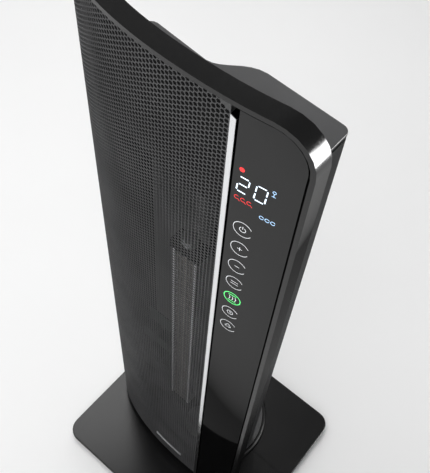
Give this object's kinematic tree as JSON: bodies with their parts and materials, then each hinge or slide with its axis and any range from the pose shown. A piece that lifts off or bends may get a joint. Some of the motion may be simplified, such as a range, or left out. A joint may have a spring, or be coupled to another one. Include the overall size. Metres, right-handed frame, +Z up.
{
  "type": "ceramic space heater",
  "caption": "Tower ceramic heater: curved grille front with touch panel in a gloss frame, rear blower housing, swivelling on a flat square base.",
  "frame": {"origin": "on the floor, under the middle of the base", "axes": "+Z up; the grille and the control panel face -Y; +X is to the right when facing the front from -Y"},
  "size_m": [0.288, 0.264, 0.735],
  "materials": {
    "gloss_black": "high-gloss moulded black",
    "satin_black": "fine satin moulded black",
    "matt_black": "matt moulded black",
    "grille_paint": "dark grey satin powder coat on perforated steel",
    "chrome_trim": "bright plated trim",
    "panel_face": "smoked glossy acrylic, printed from behind",
    "grey_plastic": "grey moulded plastic",
    "ballast_steel": "black painted sheet steel",
    "zinc_steel": "zinc plated",
    "aluminium": "bare bright extrusion",
    "heater_stone": "PTC stones and their fins",
    "rubber": "soft black rubber",
    "nylon": "natural nylon",
    "circuit_board": "green solder-resist laminate"
  },
  "bodies": {
    "base": {"base_cover_front": "gloss_black", "base_cover_rear": "gloss_black", "ballast_plate": "ballast_steel", "foot_front_left": "rubber", "foot_front_right": "rubber", "foot_rear_left": "rubber", "foot_rear_right": "rubber", "swivel_plinth": "gloss_black", "swivel_bush": "nylon", "swivel_gear": "nylon"},
    "tower": {"neck_plate": "satin_black", "retaining_clip": "zinc_steel", "swivel_motor": "zinc_steel", "bottom_plate": "satin_black", "front_frame": "gloss_black", "back_plate": "matt_black", "front_grille": "grille_paint", "trim_strip": "chrome_trim", "control_panel": "panel_face", "panel_carrier": "matt_black", "badge_bar": "chrome_trim", "control_board": "circuit_board", "display_module": "matt_black", "rear_shell": "satin_black", "rear_top_cap": "satin_black", "shell_screw_1": "zinc_steel", "shell_screw_2": "zinc_steel", "shell_screw_3": "zinc_steel", "shell_screw_4": "zinc_steel", "intake_grille": "matt_black", "filter_rails": "satin_black", "handle_cup": "matt_black", "switch_body": "matt_black", "cord_gland": "rubber", "heater_rail_left": "aluminium", "heater_rail_right": "aluminium", "heating_element": "heater_stone", "heater_cap_lower": "grey_plastic", "heater_cap_upper": "grey_plastic", "thermal_cutout": "zinc_steel", "blower_motor": "zinc_steel", "shaft_bearing": "rubber", "scroll_housing": "grey_plastic", "power_board": "circuit_board", "tilt_switch": "grey_plastic"},
    "pinion": {"drive_pinion": "nylon"},
    "blower": {"blower_wheel": "grey_plastic", "blower_shaft": "zinc_steel"},
    "filter": {"dust_filter": "satin_black"},
    "rocker": {"power_rocker": "gloss_black"}
  },
  "joints": [
    {"name": "oscillation", "type": "hinge", "parent": "base", "child": "tower", "pos_m": [0, 0.026, 0.012], "axis": [0, 0, 1], "range_deg": [-30, 30]},
    {"name": "pinion_spin", "type": "hinge", "parent": "tower", "child": "pinion", "pos_m": [0, -0.002, 0.016], "axis": [0, 0, 1], "range_deg": [-90, 90]},
    {"name": "blower_spin", "type": "hinge", "parent": "tower", "child": "blower", "pos_m": [0.03, -0.002, 0.36], "axis": [0, 0, 1], "continuous": true},
    {"name": "filter_slide", "type": "slide", "parent": "tower", "child": "filter", "axis": [0, 0, 1], "range_m": [0, 0.33]},
    {"name": "rocker_press", "type": "hinge", "parent": "tower", "child": "rocker", "pos_m": [0.02982, 0.03631, 0.122], "axis": [0.9973, -0.0733, 0], "range_deg": [-11.46, 0]}
  ],
  "couplings": [
    {"joint": "pinion_spin", "follows": "oscillation", "ratio": 3}
  ]
}
